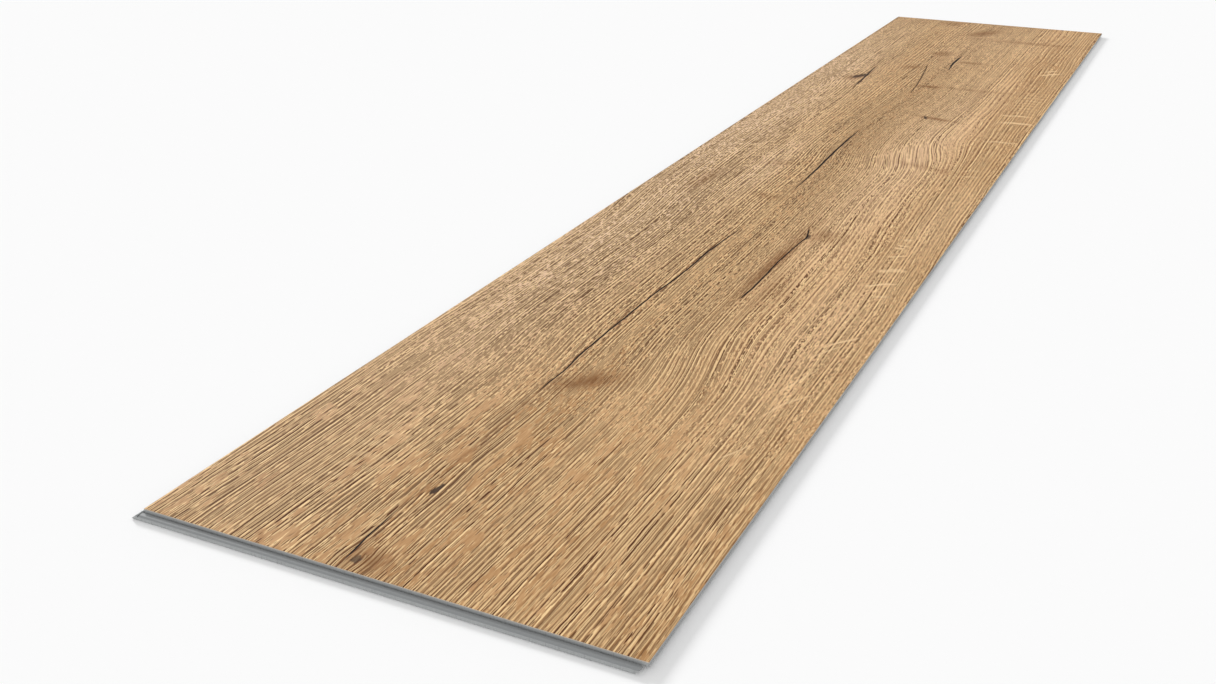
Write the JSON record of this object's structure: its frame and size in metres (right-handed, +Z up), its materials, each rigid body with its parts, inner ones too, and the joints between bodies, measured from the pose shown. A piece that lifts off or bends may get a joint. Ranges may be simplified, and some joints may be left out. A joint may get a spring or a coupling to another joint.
{
  "type": "vinyl floor plank",
  "caption": "Flat click-lock vinyl floor plank: a wood-look decor layer on a grey vinyl core, with a locking lip on adjoining edges and an overhanging key on the opposite edges.",
  "frame": {"origin": "on the underside, below the centre of the visible face", "axes": "+Z up through the visible face, +Y along the length towards the overhanging short end, +X across towards the overhanging long side"},
  "size_m": [0.2318, 1.2237, 0.004],
  "materials": {
    "oak_decor": "matt embossed oak print under a clear wear layer",
    "grey_core": "matt filled vinyl, milled at the edges"
  },
  "bodies": {
    "root": {"decor_layer": "oak_decor", "core_board": "grey_core"}
  },
  "joints": []
}
